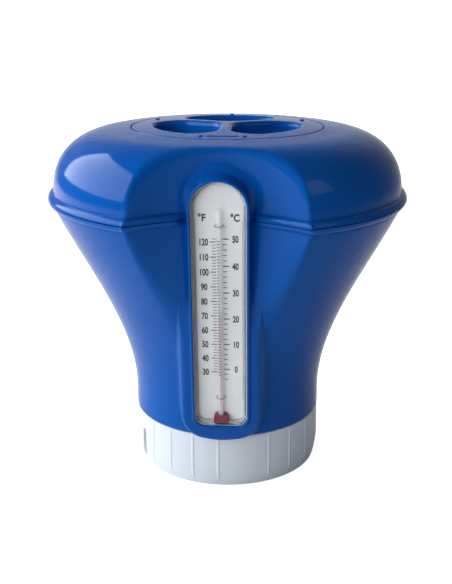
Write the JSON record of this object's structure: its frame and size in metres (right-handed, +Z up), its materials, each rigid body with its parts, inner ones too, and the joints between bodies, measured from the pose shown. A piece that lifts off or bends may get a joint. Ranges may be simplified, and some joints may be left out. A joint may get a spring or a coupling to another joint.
{
  "type": "floating pool thermometer and tablet dispenser",
  "caption": "Round floating pool tablet dispenser with a leaning thermometer in its front scoop, a screw-off lid with finger wells and a turning vent ring round the base.",
  "frame": {"origin": "on the float's axis, at the underside of the base grate", "axes": "+Z up along the float's axis, the thermometer faces -Y, +X to its right-hand side"},
  "size_m": [0.1692, 0.1599, 0.164],
  "materials": {
    "blue_shell": "smooth moulded polypropylene, glossy",
    "white_plastic": "fine satin, off-white",
    "seal_rubber": "matte",
    "pale_foam": "white foam strip",
    "ballast_steel": "zinc plated",
    "clear_cover": "clear moulded plastic, polished",
    "scale_white": "printed grey-white plastic",
    "tube_glass": "drawn glass",
    "red_spirit": "dyed spirit",
    "red_cap": "dark red moulded plastic",
    "clip_wire": "drawn stainless wire"
  },
  "bodies": {
    "root": {"lower_shell": "blue_shell", "upper_shell": "blue_shell", "seam_gasket": "seal_rubber", "chamber_tube": "white_plastic", "tube_top_seal": "seal_rubber", "tube_base_seal": "seal_rubber", "ballast_ring": "ballast_steel", "base_grate": "white_plastic", "drag_band": "seal_rubber", "window_cover": "clear_cover", "window_gasket": "pale_foam", "case_back": "scale_white", "scale_plate": "scale_white", "glass_tube": "tube_glass", "red_liquid": "red_spirit", "bulb_cap": "red_cap", "tube_clips": "clip_wire"},
    "lid_seal_body": {"lid_seal": "seal_rubber"},
    "lid_body": {"lid": "blue_shell"},
    "ring_body": {"flow_ring": "white_plastic"}
  },
  "joints": [
    {"name": "lid_rise", "type": "slide", "parent": "root", "child": "lid_seal_body", "axis": [0, 0, 1], "range_m": [0, 0.01145]},
    {"name": "lid_turn", "type": "hinge", "parent": "lid_seal_body", "child": "lid_body", "pos_m": [0, 0, 0.15], "axis": [0, 0, 1], "range_deg": [0, 90]},
    {"name": "flow_ring_turn", "type": "hinge", "parent": "root", "child": "ring_body", "pos_m": [0, 0, 0.0125], "axis": [0, 0, 1], "range_deg": [0, 60]}
  ],
  "couplings": [
    {"joint": "lid_rise", "follows": "lid_turn", "m_per_rad": 0.007162}
  ]
}
